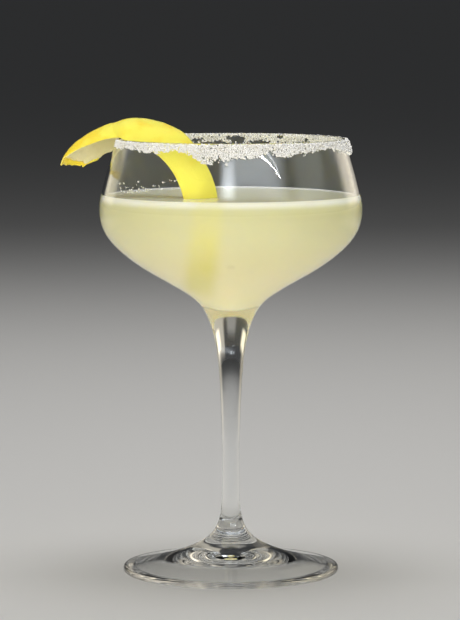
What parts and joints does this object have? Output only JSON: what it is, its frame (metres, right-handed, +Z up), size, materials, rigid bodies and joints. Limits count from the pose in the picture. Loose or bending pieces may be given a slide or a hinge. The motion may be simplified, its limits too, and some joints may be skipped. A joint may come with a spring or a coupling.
{
  "type": "lemon drop cocktail",
  "caption": "Cloudy yellow lemon cocktail in a stemmed coupe glass with a sugared rim and a curled lemon peel over its edge.",
  "frame": {"origin": "bottom centre of the whole cocktail's box, on the surface the glass stands on; the glass's own axis is 7.0 mm from it along +X, as the peel overhangs the rim on the -X side", "axes": "+Z up along the glass's stem, -Y towards the side the peel's sunken end shows best, +X away from the peel"},
  "size_m": [0.1118, 0.0978, 0.1692],
  "materials": {
    "clear_glass": "clear polished glass",
    "cloudy_drink": "cloudy pale yellow lemon drink, still surface",
    "lemon_peel": "waxy yellow lemon zest over cream pith",
    "sugar": "white sugar crystals"
  },
  "bodies": {
    "root": {"coupe_glass": "clear_glass", "lemon_drink": "cloudy_drink", "lemon_peel": "lemon_peel", "sugar_rim": "sugar"}
  },
  "joints": []
}
